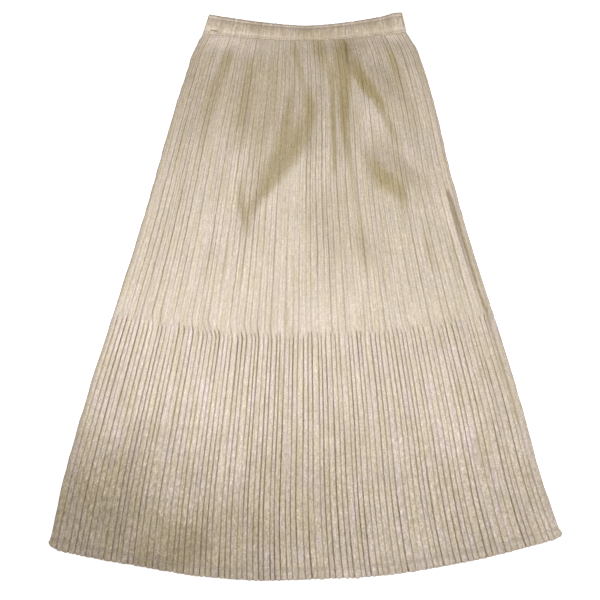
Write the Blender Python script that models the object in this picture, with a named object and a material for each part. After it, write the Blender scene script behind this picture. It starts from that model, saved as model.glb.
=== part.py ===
"""A long pleated skirt with a gathered elastic waistband, lying flat on its back.

The front panel lies on the back panel, and the front half of the waistband on its back half.
+X runs across the garment, +Y from the hem up to the waist, and +Z up from the surface it lies on.
The origin is on that surface, under the middle of the garment.
Sizes are in millimetres, and "down" is measured from the highest point of the waist.
"""

import math
from collections import namedtuple

import bmesh
import bpy

MM = 0.001

# Driving dimensions
TOTAL_LENGTH = 922.0  # highest point of the waist to the lowest point of the hem
PLEATS = 85  # on each panel
CLOTH = 1.2  # thickness of a panel's wall
SEAM_GAP = 0.3  # between pieces that are sewn together
LAYER_GAP = 0.5  # between the back panel and the front panel that lies on it
LAND_SHARE = 0.36  # share of a pleat's width that lies pressed flat on the surface
EDGE_DEPTH_SHARE = 0.15  # how much of a pleat's depth is left at the side seams
EDGE_PLEATS = 2.5  # how many pleats flatten towards a side seam
GATHERS = 15  # on each half of the waistband
STEPS_PER_GATHER = 4
GATHER_HEIGHT = 0.9

# Sections across the garment, from the waist to the hem. Middle, left_end and right_end are how
# far down the section is there, left and right how far its ends are from the centre line, and
# left_bow and right_bow the powers that its arc follows on either side. Puff is how far the front
# stands off the back there.
Section = namedtuple(
    "Section", "middle left_end right_end left right left_bow right_bow puff in_back"
)
BAND_TOP = Section(21.5, 3.2, 0.0, 157.5, 156.0, 1.45, 1.6, 0.0, True)
BAND_FOOT = Section(46.3, 34.5, 32.0, 167.8, 163.5, 1.6, 1.6, 0.0, True)
SECTIONS = (
    Section(46.6, 34.8, 32.3, 167.8, 163.5, 1.6, 1.6, 0.0, True),
    Section(71.0, 56.0, 54.0, 179.5, 177.0, 1.7, 1.7, 2.0, True),
    Section(130.0, 110.0, 110.0, 198.0, 197.8, 1.8, 1.8, 3.4, False),
    Section(195.0, 172.0, 172.0, 218.0, 214.8, 1.9, 1.9, 3.0, True),
    Section(276.0, 250.0, 248.0, 240.0, 231.8, 2.0, 2.0, 1.6, False),
    Section(388.0, 357.0, 355.0, 271.0, 262.0, 2.1, 2.1, 0.6, False),
    Section(518.0, 482.0, 480.0, 311.0, 301.3, 2.2, 2.2, 0.0, True),
    Section(527.0, 490.0, 488.0, 313.6, 304.2, 2.2, 2.2, 0.0, True),
    Section(672.0, 630.0, 628.0, 358.0, 347.5, 2.2, 2.0, 0.0, False),
    Section(811.0, 762.0, 756.0, 395.0, 383.0, 2.1, 1.8, 0.0, True),
    Section(905.5, 853.0, 837.0, 414.0, 411.0, 2.1, 1.7, 0.0, False),
    Section(922.0, 869.0, 852.0, 417.0, 417.0, 2.1, 1.7, 0.0, True),
)

# How deep the pleats are, by how far down the middle of a section is. They are shallow over the
# hips, where the skirt is lined, and stand up from the lining's edge to the hem.
PleatDepth = namedtuple("PleatDepth", "down depth")
PLEAT_DEPTHS = (
    PleatDepth(46.6, 0.9),
    PleatDepth(518.0, 1.1),
    PleatDepth(527.0, 2.4),
    PleatDepth(922.0, 3.2),
)

# The largest folds of the front. Each is a ridge from its start to its end, whose two sides
# slope away over left_reach and right_reach.
Fold = namedtuple("Fold", "x_start down_start x_end down_end left_reach right_reach height")
FOLDS = (
    Fold(26.0, 118.0, -84.0, 362.0, 24.0, 80.0, 6.0),
    Fold(2.0, 44.0, 24.0, 170.0, 14.0, 36.0, 3.5),
    Fold(74.0, 50.0, 90.0, 250.0, 14.0, 34.0, 4.5),
    Fold(84.0, 52.0, 150.0, 205.0, 14.0, 40.0, 4.0),
    Fold(118.0, 205.0, 172.0, 345.0, 22.0, 55.0, 4.5),
    Fold(-90.0, 50.0, -92.0, 215.0, 12.0, 34.0, 3.0),
    Fold(-130.0, 48.0, -160.0, 215.0, 12.0, 34.0, 3.0),
    Fold(144.0, 48.0, 188.0, 190.0, 14.0, 30.0, 3.0),
    Fold(222.0, 270.0, 326.0, 560.0, 14.0, 26.0, 3.0),
    Fold(322.0, 545.0, 384.0, 830.0, 14.0, 24.0, 2.5),
)

# One half of the waistband, a row for each line of its cross-section. Share is how far the line
# is from the top edge to the foot, rise the height of the outer face there, and gather how much
# of the gathers' height the line has. The two grooves are the rows of stitching.
BandRow = namedtuple("BandRow", "share rise gather")
BAND_ROWS = (
    BandRow(0.0, 1.6, 0.7),
    BandRow(0.18, 1.3, 0.3),
    BandRow(0.32, 2.2, 1.0),
    BandRow(0.70, 2.2, 1.0),
    BandRow(0.86, 1.4, 0.3),
    BandRow(1.0, 2.0, 0.6),
)

CHAMPAGNE = (0.62, 0.53, 0.41, 1.0)


def blend(low, high, share):
    return low + (high - low) * share


def smooth(share):
    """From 0 to 1 with no corner at either end."""
    share = min(max(share, 0.0), 1.0)
    return share * share * (3.0 - 2.0 * share)


def across(section, s):
    """The place (x, down) on a section at share s of its width, from the left side seam."""
    side = 2.0 * s - 1.0
    end, bow = section.right_end, section.right_bow
    if side < 0.0:
        end, bow = section.left_end, section.left_bow
    x = blend(-section.left, section.right, s)
    return x, blend(section.middle, end, abs(side) ** bow)


def point(place, height):
    """A point in the model's frame, in metres."""
    x, down = place
    return x * MM, (TOTAL_LENGTH / 2.0 - down) * MM, height * MM


def pleat_depth(section, s):
    """How deep the pleats are at a place. They flatten towards the side seams."""
    for above, below in zip(PLEAT_DEPTHS, PLEAT_DEPTHS[1:]):
        if section.middle <= below.down:
            break
    share = (section.middle - above.down) / (below.down - above.down)
    from_seam = min(s, 1.0 - s) * PLEATS / EDGE_PLEATS
    return blend(above.depth, below.depth, share) * blend(EDGE_DEPTH_SHARE, 1.0, smooth(from_seam))


def fold_height(place):
    """How far the large folds lift the front panel at a place."""
    x, down = place
    total = 0.0
    for fold in FOLDS:
        run_x = fold.x_end - fold.x_start
        run_down = fold.down_end - fold.down_start
        length = math.hypot(run_x, run_down)
        from_x = x - fold.x_start
        from_down = down - fold.down_start
        along = (from_x * run_x + from_down * run_down) / length**2
        if not 0.0 < along < 1.0:
            continue
        sideways = (from_x * run_down - from_down * run_x) / length
        reach = fold.left_reach if sideways < 0.0 else fold.right_reach
        slope = max(0.0, 1.0 - (sideways / reach) ** 2)
        total += fold.height * slope**2 * math.sin(math.pi * along)
    return total


def under_back(section, s, wave):
    """Height of the back panel's underside. Its outer folds lie on the surface."""
    return wave * pleat_depth(section, s)


def under_front(section, s, wave):
    """Height of the front panel's underside, which lies on the back panel's highest folds."""
    depth = pleat_depth(section, s)
    side = 2.0 * s - 1.0
    stand_off = section.puff * (1.0 - side**4) + fold_height(across(section, s))
    return depth + CLOTH + LAYER_GAP + stand_off + wave * depth


def sharp_pleats():
    """Stations (s, wave) across a panel, where wave is 0 in a valley and 1 on a fold."""
    return [(i / (2 * PLEATS), i % 2) for i in range(2 * PLEATS + 1)]


def pressed_pleats():
    """Stations across a panel whose lower folds are pressed flat where they lie."""
    land = LAND_SHARE / 2.0
    stations = [(0.0, 0)]
    for pleat in range(PLEATS):
        stations += [
            ((pleat + land) / PLEATS, 0),
            ((pleat + 0.5) / PLEATS, 1),
            ((pleat + 1.0 - land) / PLEATS, 0),
        ]
    return stations + [(1.0, 0)]


def fabric(name):
    material = bpy.data.materials.new(name)
    material.use_nodes = True
    shader = material.node_tree.nodes["Principled BSDF"]
    shader.inputs["Base Color"].default_value = CHAMPAGNE
    shader.inputs["Roughness"].default_value = 0.48
    shader.inputs["Metallic"].default_value = 0.15
    return material


def cloth_wall(name, net, other_side):
    """A closed wall of cloth with one side through a net of points, row by row from the left.

    A flat grid is shaped into the net and extruded as one region. Other_side gives the height
    of each extruded point from the height of the point under or over it.
    """
    rows = len(net)
    columns = len(net[0])
    shape = bmesh.new()
    bmesh.ops.create_grid(shape, x_segments=columns - 1, y_segments=rows - 1, size=1.0)
    from_top_left = sorted(shape.verts, key=lambda vertex: (-round(vertex.co.y, 4), vertex.co.x))
    for index, vertex in enumerate(from_top_left):
        row, column = divmod(index, columns)
        vertex.co = net[row][column]
    raised = bmesh.ops.extrude_face_region(shape, geom=shape.faces[:])
    for item in raised["geom"]:
        if isinstance(item, bmesh.types.BMVert):
            item.co.z = other_side(item.co.z / MM) * MM
    bmesh.ops.recalc_face_normals(shape, faces=shape.faces[:])
    mesh = bpy.data.meshes.new(name)
    shape.to_mesh(mesh)
    shape.free()
    mesh.materials.append(fabric(name + "_cloth"))
    return bpy.data.objects.new(name, mesh)


def panel(name, sections, stations, underside):
    """A pleated panel: the same pleats at every section, so they widen from waist to hem."""
    net = [
        [point(across(section, s), underside(section, s, wave)) for s, wave in stations]
        for section in sections
    ]
    return cloth_wall(name, net, lambda height: height + CLOTH)


def band_half(name, base):
    """One half of the waistband, flat on base and gathered on its outer face."""
    steps = GATHERS * STEPS_PER_GATHER
    net = []
    for row in BAND_ROWS:
        line = Section(*(blend(a, b, row.share) for a, b in zip(BAND_TOP, BAND_FOOT)))
        points = []
        for step in range(steps + 1):
            crest = 0.5 - 0.5 * math.cos(2.0 * math.pi * step / STEPS_PER_GATHER)
            height = base + row.rise + GATHER_HEIGHT * row.gather * crest
            points.append(point(across(line, step / steps), height))
        net.append(points)
    return cloth_wall(name, net, lambda height: base)


def build():
    for old in list(bpy.data.objects):
        bpy.data.objects.remove(old, do_unlink=True)
    back_sections = [section for section in SECTIONS if section.in_back]
    band_thickness = max(row.rise + GATHER_HEIGHT * row.gather for row in BAND_ROWS)
    pieces = (
        panel("back_panel", back_sections, pressed_pleats(), under_back),
        panel("front_panel", SECTIONS, sharp_pleats(), under_front),
        band_half("waistband_back", 0.0),
        band_half("waistband_front", band_thickness + SEAM_GAP),
    )
    skirt = bpy.data.collections.new("pleated_skirt")
    bpy.context.scene.collection.children.link(skirt)
    for piece in pieces:
        skirt.objects.link(piece)


build()
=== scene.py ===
# %% [markdown]
# # A pleated skirt, laid flat
# The real skirt is two panels of satin that were pressed into narrow pleats, joined at the sides
# and gathered onto an elastic waistband. Here it lies on its back and is seen from straight above.
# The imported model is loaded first. It fixes every size, so all that follows is cloth, thread,
# colour and light laid over it.

import math
from collections import namedtuple

import bpy
import numpy as np
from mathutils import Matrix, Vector


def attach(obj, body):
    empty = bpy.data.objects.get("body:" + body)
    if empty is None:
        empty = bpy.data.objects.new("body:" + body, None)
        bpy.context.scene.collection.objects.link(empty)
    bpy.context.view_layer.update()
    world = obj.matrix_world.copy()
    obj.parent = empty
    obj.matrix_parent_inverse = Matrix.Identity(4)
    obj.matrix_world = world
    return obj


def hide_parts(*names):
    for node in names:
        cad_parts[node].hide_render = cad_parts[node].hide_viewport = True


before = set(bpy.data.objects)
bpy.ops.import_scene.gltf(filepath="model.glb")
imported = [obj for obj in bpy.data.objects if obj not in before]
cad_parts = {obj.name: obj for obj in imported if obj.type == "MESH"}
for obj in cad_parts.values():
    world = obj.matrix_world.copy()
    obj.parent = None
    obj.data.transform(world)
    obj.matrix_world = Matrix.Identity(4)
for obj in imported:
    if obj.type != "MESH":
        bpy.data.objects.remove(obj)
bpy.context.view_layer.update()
MM = 0.001

# %% [markdown]
# ## Camera
# The photograph looks straight down. A long lens far above keeps the outline nearly free of
# perspective, as a copy stand does. Its height comes from how many millimetres one side of the
# picture has to show, and it stands over the middle of the picture, a little left of the skirt's.

# %% Camera
PICTURE_SIDE = 973.0
PICTURE_MIDDLE = (-9.7, -6.1)
LENS = 85.0
CLOTH_HEIGHT = 7.0

camera_data = bpy.data.cameras.new("camera")
camera_data.lens = LENS
camera = bpy.data.objects.new("camera", camera_data)
bpy.context.collection.objects.link(camera)
above = PICTURE_SIDE * LENS / camera_data.sensor_width + CLOTH_HEIGHT
camera.location = (PICTURE_MIDDLE[0] * MM, PICTURE_MIDDLE[1] * MM, above * MM)
camera_data.clip_end = 20.0
bpy.context.scene.camera = camera
print("the camera is", round(above), "mm above the floor")

# %% [markdown]
# ## Floor and light
# A cut-out on white has no room round it, so the floor is a large pale plane that gives a little
# light of its own, as a light table does, and keeps only a soft shadow. A long soft lamp hangs
# overhead, across the skirt at the height of its lining's edge. Satin shines back where it lies
# flat under such a lamp and goes dark where it tilts, which draws the folds together with painted
# shade on their flanks. The lamp is close, so its light falls off towards the waist and the hem. A
# spot high above leans to the upper right, so that the edge of its round pool of light crosses the
# lower left, where the photograph is darkest, and painted shade on the cloth darkens it further. A
# weaker lamp on the right gives the pleats and folds a dark side. A pale world fills the shadows.

# %% Floor and light
FLOOR_SIZE = 8.0
FLOOR_HEIGHT = -0.0002
FLOOR_COLOUR = (0.86, 0.86, 0.86, 1.0)
FLOOR_ROUGHNESS = 0.8
FLOOR_GLOW = 0.75
LAMP_PLACE = (-0.14, -0.07, 0.95)
LAMP_SIZE = (1.3, 0.30)
LAMP_POWER = 5.0
SPOT_PLACE = (-0.35, -0.1, 2.6)
SPOT_AIM = (0.5, 0.6, 0.0)
SPOT_EDGE = (-0.34, -0.42, 0.0)
SPOT_BLEND = 0.3
SPOT_RADIUS = 0.15
SPOT_POWER = 105.0
SPOT_COLOUR = (0.97, 1.0, 1.1)
SIDE_PLACE = (1.5, 0.25, 0.8)
SIDE_SIZE = (0.7, 0.7)
SIDE_POWER = 4.0
FILL_STRENGTH = 0.2
FILL_COLOUR = (1.0, 0.97, 0.9)


def make_floor():
    bpy.ops.object.select_all(action="DESELECT")
    bpy.ops.mesh.primitive_plane_add(size=FLOOR_SIZE, location=(0.0, 0.0, FLOOR_HEIGHT))
    floor = bpy.context.active_object
    floor.name = "floor"
    material = bpy.data.materials.new("pale_floor")
    material.use_nodes = True
    shader = material.node_tree.nodes["Principled BSDF"]
    shader.inputs["Base Color"].default_value = FLOOR_COLOUR
    shader.inputs["Roughness"].default_value = FLOOR_ROUGHNESS
    shader.inputs["Emission Color"].default_value = (1.0, 1.0, 1.0, 1.0)
    shader.inputs["Emission Strength"].default_value = FLOOR_GLOW
    floor.data.materials.append(material)


def hang_lamp(name, kind, place, power):
    lamp = bpy.data.objects.new(name, bpy.data.lights.new(name, kind))
    bpy.context.collection.objects.link(lamp)
    lamp.location = place
    lamp.data.energy = power
    return lamp


def make_lamp(name, place, size, power, tilt):
    """A rectangular lamp. Tilt turns it about the Y axis from facing straight down."""
    lamp = hang_lamp(name, "AREA", place, power)
    lamp.data.shape = "RECTANGLE"
    lamp.data.size, lamp.data.size_y = size
    lamp.rotation_euler = (0.0, tilt, 0.0)


def make_spot(name, place, aim, edge, power, colour):
    """A spot turned to aim, whose round pool of light reaches just as far as edge."""
    to_aim = Vector(aim) - Vector(place)
    lamp = hang_lamp(name, "SPOT", place, power)
    lamp.data.spot_size = 2.0 * to_aim.angle(Vector(edge) - Vector(place))
    lamp.data.spot_blend = SPOT_BLEND
    lamp.data.shadow_soft_size = SPOT_RADIUS
    lamp.data.color = colour
    lamp.rotation_euler = to_aim.to_track_quat("-Z", "Y").to_euler()


make_floor()
make_spot("spot_lamp", SPOT_PLACE, SPOT_AIM, SPOT_EDGE, SPOT_POWER, SPOT_COLOUR)
make_lamp("overhead_lamp", LAMP_PLACE, LAMP_SIZE, LAMP_POWER, 0.0)
make_lamp("side_lamp", SIDE_PLACE, SIDE_SIZE, SIDE_POWER, math.atan2(SIDE_PLACE[0], SIDE_PLACE[2]))
world = bpy.data.worlds.new("studio")
world.use_nodes = True
world.node_tree.nodes["Background"].inputs["Color"].default_value = (*FILL_COLOUR, 1.0)
world.node_tree.nodes["Background"].inputs["Strength"].default_value = FILL_STRENGTH
bpy.context.scene.world = world
bpy.context.scene.view_settings.view_transform = "Standard"
print("floor, three lamps and a pale world")

# %% [markdown]
# ## The cut of the panels
# Both panels are the same trapezoid with a curved waist and hem. A short table gives its
# sections from waist to hem, in millimetres. "Down" is the distance below the highest point of
# the waist. Left and right are how far a section's ends are from the centre line, the bows are the
# powers that its arc follows, and puff is how far the front stands off the back. A smooth curve
# runs through the table's rows, so the sides have no corners. A second table lets the hem sag.

# %% The cut of the panels
TOTAL_LENGTH = 922.0
Section = namedtuple("Section", "middle left_end right_end left right left_bow right_bow puff")
SECTIONS = (
    Section(46.6, 34.8, 32.3, 167.8, 163.5, 1.6, 1.6, 0.0),
    Section(71.0, 56.0, 54.0, 179.5, 177.0, 1.7, 1.7, 1.6),
    Section(130.0, 110.0, 110.0, 198.0, 197.8, 1.8, 1.8, 3.0),
    Section(195.0, 172.0, 172.0, 218.0, 214.8, 1.9, 1.9, 3.0),
    Section(276.0, 250.0, 248.0, 240.0, 231.8, 2.0, 2.0, 1.6),
    Section(388.0, 357.0, 355.0, 271.0, 262.0, 2.1, 2.1, 0.6),
    Section(518.0, 482.0, 480.0, 311.0, 301.3, 2.2, 2.2, 0.0),
    Section(672.0, 630.0, 628.0, 358.0, 347.5, 2.2, 2.0, 0.0),
    Section(811.0, 762.0, 756.0, 395.0, 383.0, 2.1, 1.8, 0.0),
    Section(905.5, 853.0, 837.0, 415.0, 411.0, 2.1, 1.7, 0.0),
    Section(922.0, 869.0, 852.0, 418.5, 417.0, 2.1, 1.7, 0.0),
)
LEFT_CORNER_LIFT = 8.0
RIGHT_CORNER_LIFT = 4.0
CORNER_START = 0.955
Sag = namedtuple("Sag", "x lower")
HEM_SAGS = (
    Sag(-418.0, 0.0), Sag(-340.0, -1.0), Sag(-280.0, -2.2), Sag(-225.0, -0.6), Sag(-185.0, 1.4),
    Sag(-85.0, 2.0), Sag(-40.0, 0.3), Sag(10.0, -2.0), Sag(45.0, -1.8), Sag(80.0, 0.3),
    Sag(150.0, 1.4), Sag(300.0, 1.4), Sag(350.0, 0.4), Sag(417.0, 0.0),
)
SAG_START = 700.0
SAG_RUN = 200.0


def through(rows, column, down):
    """A smooth curve through one column of a table, read at each value of down."""
    knots = np.array([row[0] for row in rows])
    values = np.array([getattr(row, column) for row in rows])
    tangents = np.gradient(values, knots)
    down = np.clip(np.asarray(down, float), knots[0], knots[-1])
    i = np.clip(np.searchsorted(knots, down) - 1, 0, len(knots) - 2)
    span = knots[i + 1] - knots[i]
    t = (down - knots[i]) / span
    start = (1 + 2 * t) * (1 - t) ** 2 * values[i] + t * (1 - t) ** 2 * span * tangents[i]
    end = t**2 * (3 - 2 * t) * values[i + 1] - t**2 * (1 - t) * span * tangents[i + 1]
    return start + end


def smooth(share):
    """From 0 to 1 with no corner at either end."""
    share = np.clip(share, 0.0, 1.0)
    return share * share * (3.0 - 2.0 * share)


def bell(distance, reach):
    """1 where the distance is 0, and falling softly to almost nothing at twice the reach."""
    return np.exp(-((distance / reach) ** 2))


def on_panel(s, middle):
    """The places (x, down) at share s of the width, on the sections whose middles are given."""
    side = 2.0 * s - 1.0
    left, right, left_end, right_end, left_bow, right_bow = (
        through(SECTIONS, column, middle)
        for column in ("left", "right", "left_end", "right_end", "left_bow", "right_bow")
    )
    end = np.where(side < 0.0, left_end, right_end)
    bow = np.where(side < 0.0, left_bow, right_bow)
    x = -left + (left + right) * s
    lift = np.where(side < 0.0, LEFT_CORNER_LIFT, RIGHT_CORNER_LIFT)
    corner = lift * np.clip((np.abs(side) - CORNER_START) / (1.0 - CORNER_START), 0.0, 1.0) ** 2
    above_hem = SECTIONS[-2].middle
    near_hem = smooth((middle - above_hem) / (TOTAL_LENGTH - above_hem))
    sag = np.interp(x, *zip(*HEM_SAGS)) * smooth((middle - SAG_START) / SAG_RUN)
    return x, middle + (end - middle) * np.abs(side) ** bow + sag - corner * near_hem


HEM_WIDTH = SECTIONS[-1].left + SECTIONS[-1].right
print("the hem is", HEM_WIDTH, "mm wide")

# %% [markdown]
# ## Rows and columns of the cloth
# Each panel is one grid. Its columns follow the pleats, so that a valley always has its own line
# of points and stays sharp. Its rows are close together where the form changes quickly: at the
# waist, at the end of the hidden lining, and at the hem.

# %% Rows and columns of the cloth
PLEATS = 85
LINING_END = 520.0
HEM_STITCH = 906.0
chance = np.random.default_rng(7)

Stretch = namedtuple("Stretch", "start end rows")
FRONT_STRETCHES = (
    Stretch(46.6, 70.0, 4),
    Stretch(70.0, 370.0, 25),
    Stretch(370.0, 500.0, 6),
    Stretch(500.0, 540.0, 9),
    Stretch(540.0, 894.0, 17),
    Stretch(894.0, 922.0, 7),
)


def row_middles(stretches):
    parts = [np.linspace(r.start, r.end, r.rows, endpoint=False) for r in stretches]
    return np.append(np.concatenate(parts), stretches[-1].end)


def uneven_lines(count, spread, group=(1.0,)):
    """Shares of the width at which count + 1 lines lie, unevenly, with a repeating group."""
    widths = np.resize(np.array(group), count) * (1.0 + spread * chance.uniform(-1, 1, count))
    return np.append(0.0, np.cumsum(widths)) / widths.sum()


front_rows = row_middles(FRONT_STRETCHES)
print(len(front_rows), "rows on the front")

# %% [markdown]
# ## Pleats
# Over the hips the pleats are pressed onto a hidden lining: they are broad flats parted by thin
# grooves, two for every three pleats. Below the lining's edge all 85 stand up as round ribs with
# narrow valleys. Each groove starts at its own height, so the line between the two is ragged. A
# valley is narrower than the spacing of the points, so the form gives only its depth. Each point
# also keeps the number of its rib, from which the material draws the valley as a sharp line of
# painted shade. The grooves get painted shade too.

# %% Pleats
RIB_PLACES = (0.0, 0.055, 0.13, 0.29, 0.5, 0.71, 0.87, 0.945)
LAND_PLACES = (0.0, 0.055, 0.12, 0.22, 0.34, 0.445, 0.5, 0.555, 0.66, 0.78, 0.88, 0.945)
STEPS = len(RIB_PLACES)
GROOVE_STEPS = len(LAND_PLACES)
RIB_SPREAD = 0.18
RIB_GROUP = (1.22, 0.89, 0.89)
LAND_SPREAD = 0.32
GROOVE_GROUP = (1.0, 0.8, 0.9)
GROOVE_HALF = 0.085
RAGGED_START = 4.0
STAND_UP_RUN = 7.0
SHIFT_START = LINING_END - 14.0
SHIFT_RUN = 30.0
CRINKLE_SHARE = 0.6
CRINKLE_END = 460.0
FADE_START = 370.0
FADE_RUN = 120.0
FADE_SHARE = 0.35
VALLEY_SHADE = 0.3
DEPTHS_ABOVE = ((46.6, 0.4), (120.0, 0.45), (518.0, 0.55), (922.0, 0.55))
DEPTHS_BELOW = ((46.6, 1.4), (518.0, 1.4), (640.0, 1.5), (922.0, 1.8))


def by_row(rows, table):
    """A value for each row, from a table of how far down and what value."""
    return np.interp(rows, *zip(*table))[:, None]


def wander(columns, rows, per_line, size, waves):
    """Slow sideways drift of each line of points, a sum of a few waves with random phases."""
    lines = columns // per_line + 1
    drift = np.zeros((len(rows), lines))
    along = (rows - rows[0]) / (rows[-1] - rows[0])
    for wave in waves:
        phase = chance.uniform(0.0, 2.0 * math.pi, lines)
        gain = chance.uniform(0.4, 1.0, lines) * size / wave**0.5
        drift += gain * np.sin(2.0 * math.pi * wave * along[:, None] + phase)
    at = np.arange(columns + 1) / per_line
    return np.array([np.interp(at, np.arange(lines), row) for row in drift])


def unit_places(places, columns):
    """For each column, the number of its pleat and how far across that pleat it lies."""
    at = np.arange(columns + 1)
    return at // len(places), np.array(places)[at % len(places)]


def to_nearest(number, across):
    """The number of the nearest line between pleats, and the distance to it in pleats."""
    return number + (across > 0.5), np.minimum(across, 1.0 - across)


def pleat_grid(rows):
    """Where each point of the front lies across it, how far it sinks and how much painted shade it
    gets.

    The last two results let the material draw sharp valleys of painted shade: the number of each
    point's rib, with the share of the rib as its fraction, and how strong the nearest valley is.
    """
    columns = PLEATS * STEPS
    at = np.arange(columns + 1)
    level = rows[:, None]
    rib, rib_across = unit_places(RIB_PLACES, columns)
    land, land_across = unit_places(LAND_PLACES, columns)
    ribs = np.append(uneven_lines(PLEATS, RIB_SPREAD, RIB_GROUP), 1.0)
    s_below = ribs[rib] + (ribs[rib + 1] - ribs[rib]) * rib_across
    lands = columns / GROOVE_STEPS
    edges = np.append(uneven_lines(int(lands), LAND_SPREAD) * int(lands) / lands, 1.0)
    s_above = edges[land] + (edges[land + 1] - edges[land]) * land_across
    s_above = s_above / s_above[-1]

    # Where the columns lie: over the flats above, over the ribs below, and a little astray.
    line, from_line = to_nearest(rib, rib_across)
    start = chance.uniform(-RAGGED_START, RAGGED_START, PLEATS + 2)[line]
    below = smooth((level - LINING_END - start) / STAND_UP_RUN)
    s = s_above + (s_below - s_above) * smooth((level - SHIFT_START) / SHIFT_RUN)
    edge = np.minimum(at, columns - at) / STEPS
    drift = wander(columns, rows, STEPS, 0.0007, (1.5, 4.0, 9.0))
    crinkle = wander(columns, rows, STEPS, 0.006, (19.0, 23.0, 28.0)) * (level < CRINKLE_END)
    s = s + np.clip(edge, 0.0, 1.0) * (drift + crinkle * CRINKLE_SHARE)

    # How strong the valleys and grooves are. A weak line lies half-way between two grooves.
    near = 1.0 - 2.0 * from_line
    strength = chance.uniform(0.6, 1.15, PLEATS + 2)[line]
    strength = strength * (1.0 + 0.4 * wander(columns, rows, STEPS, 1.0, (1.0, 2.3, 5.0, 11.0)))
    valley = (0.95 * near**9 + 0.05 * near**1.5) * strength
    mark, from_mark = to_nearest(land, land_across)
    strong = np.resize(GROOVE_GROUP, len(edges) + 1) * chance.uniform(0.7, 1.15, len(edges) + 1)
    groove = bell(from_mark, GROOVE_HALF) + 0.35 * bell(0.5 - from_mark, 0.05)
    groove = groove * strong[mark] * (
        1.0 + 0.5 * wander(columns, rows, GROOVE_STEPS, 1.0, (1.0, 2.3, 5.0))
    )

    fade = 1.0 - FADE_SHARE * smooth((level - FADE_START) / FADE_RUN)
    cut_above = np.clip(groove, 0.0, 1.2) * (1.0 - below) * fade
    cut_below = np.clip(valley, 0.0, 1.2) * below
    depth = by_row(rows, DEPTHS_ABOVE) * cut_above + by_row(rows, DEPTHS_BELOW) * cut_below
    sink = smooth(edge / 0.8) * depth
    # Painted shade in the grooves, and a little in the valleys.
    dark = np.clip(cut_above + VALLEY_SHADE * cut_below, 0.0, 1.0)
    return s, sink, dark, (rib + rib_across) + 0.0 * s, np.clip(strength, 0.0, 1.4) * below


print("pleats at the hem are about", round(HEM_WIDTH / PLEATS, 1), "mm wide")

# %% [markdown]
# ## Folds
# The cloth over the hips is loose, so it drapes in soft folds that run down from the gathers. Each
# fold in the table is the line of its steep flank, given point by point: how far down, how far
# across, half the flank's width, and how high the cloth stands on the right of it. To the right
# the height runs out over a long reach. The flanks face left, away from the side lamp, and get
# painted shade as well, at full strength at the slope that is called steep. A crease is a narrow
# groove with a small ridge beside it and painted shade in the groove. Each patch in the last table
# is a painted highlight where satin turns to the light, and painted shade where its amount is
# negative and the satin turns away, by less than would show as a form. It only changes the tone.

# %% Folds
Turn = namedtuple("Turn", "down x half height")
LONG_DIAGONAL = (
    Turn(120.0, 10.0, 18.0, 0.0), Turn(159.0, 3.0, 20.0, 2.2), Turn(191.0, -6.0, 22.0, 4.6),
    Turn(224.0, -22.0, 26.0, 6.8), Turn(248.0, -39.0, 25.0, 6.5), Turn(272.0, -56.0, 22.0, 5.4),
    Turn(293.0, -71.0, 18.0, 4.1), Turn(313.0, -87.0, 15.0, 2.8), Turn(337.0, -96.0, 13.0, 1.4),
    Turn(372.0, -99.0, 12.0, 0.5), Turn(405.0, -100.0, 12.0, 0.0),
)
BESIDE_DIAGONAL = (
    Turn(118.0, -23.0, 9.0, 0.0), Turn(151.0, -25.0, 12.0, 2.0), Turn(191.0, -33.0, 14.0, 2.6),
    Turn(224.0, -45.0, 14.0, 1.8), Turn(253.0, -67.0, 12.0, 1.2), Turn(289.0, -94.0, 11.0, 0.8),
    Turn(321.0, -106.0, 10.0, 0.0),
)
DIAGONAL_TIP = (
    Turn(248.0, -102.0, 7.0, 0.0), Turn(281.0, -109.0, 8.0, 1.0), Turn(313.0, -105.0, 9.0, 1.3),
    Turn(345.0, -97.0, 9.0, 0.8), Turn(370.0, -92.0, 9.0, 0.0),
)
OVER_DIAGONAL = (
    Turn(45.0, -23.0, 5.0, 0.3), Turn(62.0, -18.0, 7.0, 1.5), Turn(94.0, -10.0, 8.0, 1.6),
    Turn(118.0, -3.0, 10.0, 1.5), Turn(143.0, 5.0, 12.0, 2.0), Turn(167.0, 9.0, 14.0, 1.6),
    Turn(190.0, 11.0, 14.0, 0.0),
)
MIDDLE_LEFT = (
    Turn(45.0, 18.0, 14.0, 2.6), Turn(62.0, 22.0, 16.0, 4.0), Turn(86.0, 30.0, 15.0, 3.0),
    Turn(110.0, 40.0, 12.0, 1.6), Turn(135.0, 50.0, 9.0, 0.0),
)
MIDDLE = (
    Turn(42.0, 58.0, 18.0, 3.5), Turn(62.0, 60.0, 21.0, 6.5), Turn(86.0, 61.0, 20.0, 6.0),
    Turn(118.0, 62.0, 15.0, 4.4), Turn(151.0, 62.0, 11.0, 3.2), Turn(183.0, 62.0, 9.0, 2.3),
    Turn(216.0, 66.0, 8.0, 1.8), Turn(248.0, 72.0, 8.0, 1.2), Turn(300.0, 81.0, 8.0, 1.0),
    Turn(360.0, 90.0, 8.0, 0.7), Turn(420.0, 97.0, 8.0, 0.0),
)
MIDDLE_LINE = (
    Turn(78.0, 41.0, 5.0, 0.0), Turn(110.0, 42.0, 5.5, 1.2), Turn(150.0, 43.0, 5.0, 1.3),
    Turn(200.0, 44.5, 4.5, 1.1), Turn(245.0, 46.0, 4.5, 1.2), Turn(275.0, 46.5, 4.5, 0.0),
)
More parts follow.
